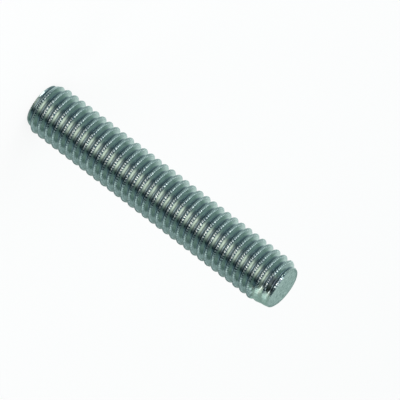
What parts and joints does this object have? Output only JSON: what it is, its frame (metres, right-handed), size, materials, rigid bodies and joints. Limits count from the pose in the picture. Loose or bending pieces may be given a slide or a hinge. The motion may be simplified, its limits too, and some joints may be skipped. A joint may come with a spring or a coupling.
{
  "type": "threaded rod",
  "caption": "Straight round steel rod with a coarse right-hand screw thread along its whole length and a bevelled flat face at each end.",
  "frame": {"origin": "middle of the lower end face, on the rod's axis", "axes": "+Z along the rod's axis, from the lower end face to the upper one; X and Y lie across the rod and differ only in where the thread starts"},
  "size_m": [0.006, 0.006, 0.035],
  "materials": {
    "zinc_plated_steel": "bright plated steel, slightly green-grey, with fine rolling marks along the thread and a satin sawn end face"
  },
  "bodies": {
    "root": {"threaded_rod": "zinc_plated_steel"}
  },
  "joints": []
}
